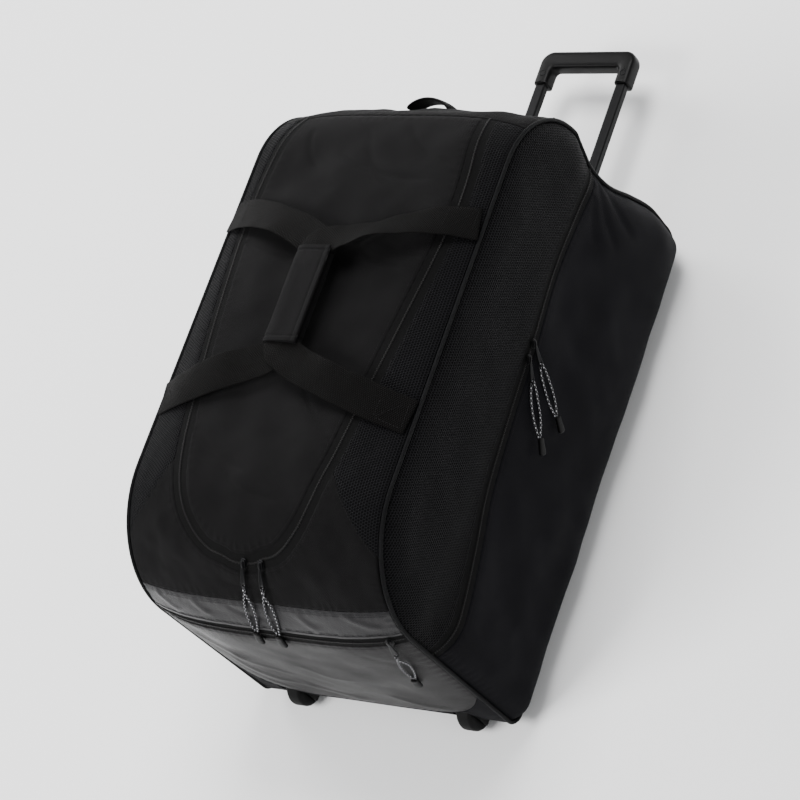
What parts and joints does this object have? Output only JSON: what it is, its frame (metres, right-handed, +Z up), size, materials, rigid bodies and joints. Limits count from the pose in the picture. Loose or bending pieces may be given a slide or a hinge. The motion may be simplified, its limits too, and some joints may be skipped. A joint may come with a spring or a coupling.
{
  "type": "wheeled kit bag",
  "caption": "Soft wheeled kit bag with a U-zip lid, zipped side and end pockets, webbing carry handles, corner wheels and a telescopic pull handle drawn out.",
  "frame": {"origin": "on the floor under the middle of the part's box, with the cord pullers left out", "axes": "+Z up through the lid, +Y from the wheel end to the telescopic handle's end, +X to the side with two zip pullers"},
  "size_m": [0.505, 1.0954, 0.522],
  "materials": {
    "panel_cloth": "matt charcoal woven polyester",
    "mesh_cloth": "matt black open mesh",
    "smooth_cloth": "smooth black coated polyester",
    "grey_cloth": "grey coated nylon with a slight sheen",
    "light_cloth": "light grey reflective cloth",
    "zip_tape": "black zip tape with a coil",
    "piping": "black piped seam",
    "webbing": "ribbed brown-black webbing",
    "hard_plastic": "satin black moulding",
    "tube_metal": "black anodised tube",
    "tyre": "smooth black rubber",
    "slider_metal": "dark coated metal",
    "cord": "black cord with white flecks"
  },
  "bodies": {
    "shell": {"top_flap": "panel_cloth", "flap_zip": "zip_tape", "mesh_strip_left": "mesh_cloth", "mesh_strip_right": "mesh_cloth", "front_panel": "panel_cloth", "reflective_strip": "light_cloth", "end_zip": "zip_tape", "end_pocket": "grey_cloth", "base_tray": "smooth_cloth", "handle_end_panel": "panel_cloth", "back_zip": "zip_tape", "back_pocket": "panel_cloth", "side_pocket_left": "smooth_cloth", "side_mesh_left": "mesh_cloth", "side_zip_left": "zip_tape", "piping_left": "piping", "side_pocket_right": "smooth_cloth", "side_mesh_right": "mesh_cloth", "side_zip_right": "zip_tape", "piping_right": "piping", "wheel_housing_left": "hard_plastic", "wheel_housing_right": "hard_plastic", "foot_left": "hard_plastic", "foot_right": "hard_plastic", "handle_throat": "hard_plastic", "sleeve_left": "tube_metal", "sleeve_right": "tube_metal", "carry_strap_left": "webbing", "carry_strap_right": "webbing", "grip_wrap": "smooth_cloth", "grab_handle": "webbing", "slider_flap_a": "slider_metal", "cord_flap_a": "cord", "cord_end_flap_a": "hard_plastic", "slider_flap_b": "slider_metal", "cord_flap_b": "cord", "cord_end_flap_b": "hard_plastic", "slider_side_right_a": "slider_metal", "cord_side_right_a": "cord", "cord_end_side_right_a": "hard_plastic", "slider_side_right_b": "slider_metal", "cord_side_right_b": "cord", "cord_end_side_right_b": "hard_plastic", "slider_side_left": "slider_metal", "cord_side_left": "cord", "cord_end_side_left": "hard_plastic", "slider_end": "slider_metal", "cord_end": "cord", "cord_end_end": "hard_plastic", "slider_back": "slider_metal", "cord_back": "cord", "cord_end_back": "hard_plastic"},
    "handle": {"tube_left": "tube_metal", "tube_right": "tube_metal", "grip": "hard_plastic"},
    "wheel_left": {"wheel_left": "tyre"},
    "wheel_right": {"wheel_right": "tyre"}
  },
  "joints": [
    {"name": "handle_slide", "type": "slide", "parent": "shell", "child": "handle", "axis": [0, 1, 0], "range_m": [-0.205, 0]},
    {"name": "wheel_left_spin", "type": "hinge", "parent": "shell", "child": "wheel_left", "pos_m": [-0.1485, -0.50734, 0.03], "axis": [1, 0, 0], "continuous": true},
    {"name": "wheel_right_spin", "type": "hinge", "parent": "shell", "child": "wheel_right", "pos_m": [0.1485, -0.50734, 0.03], "axis": [1, 0, 0], "continuous": true}
  ]
}
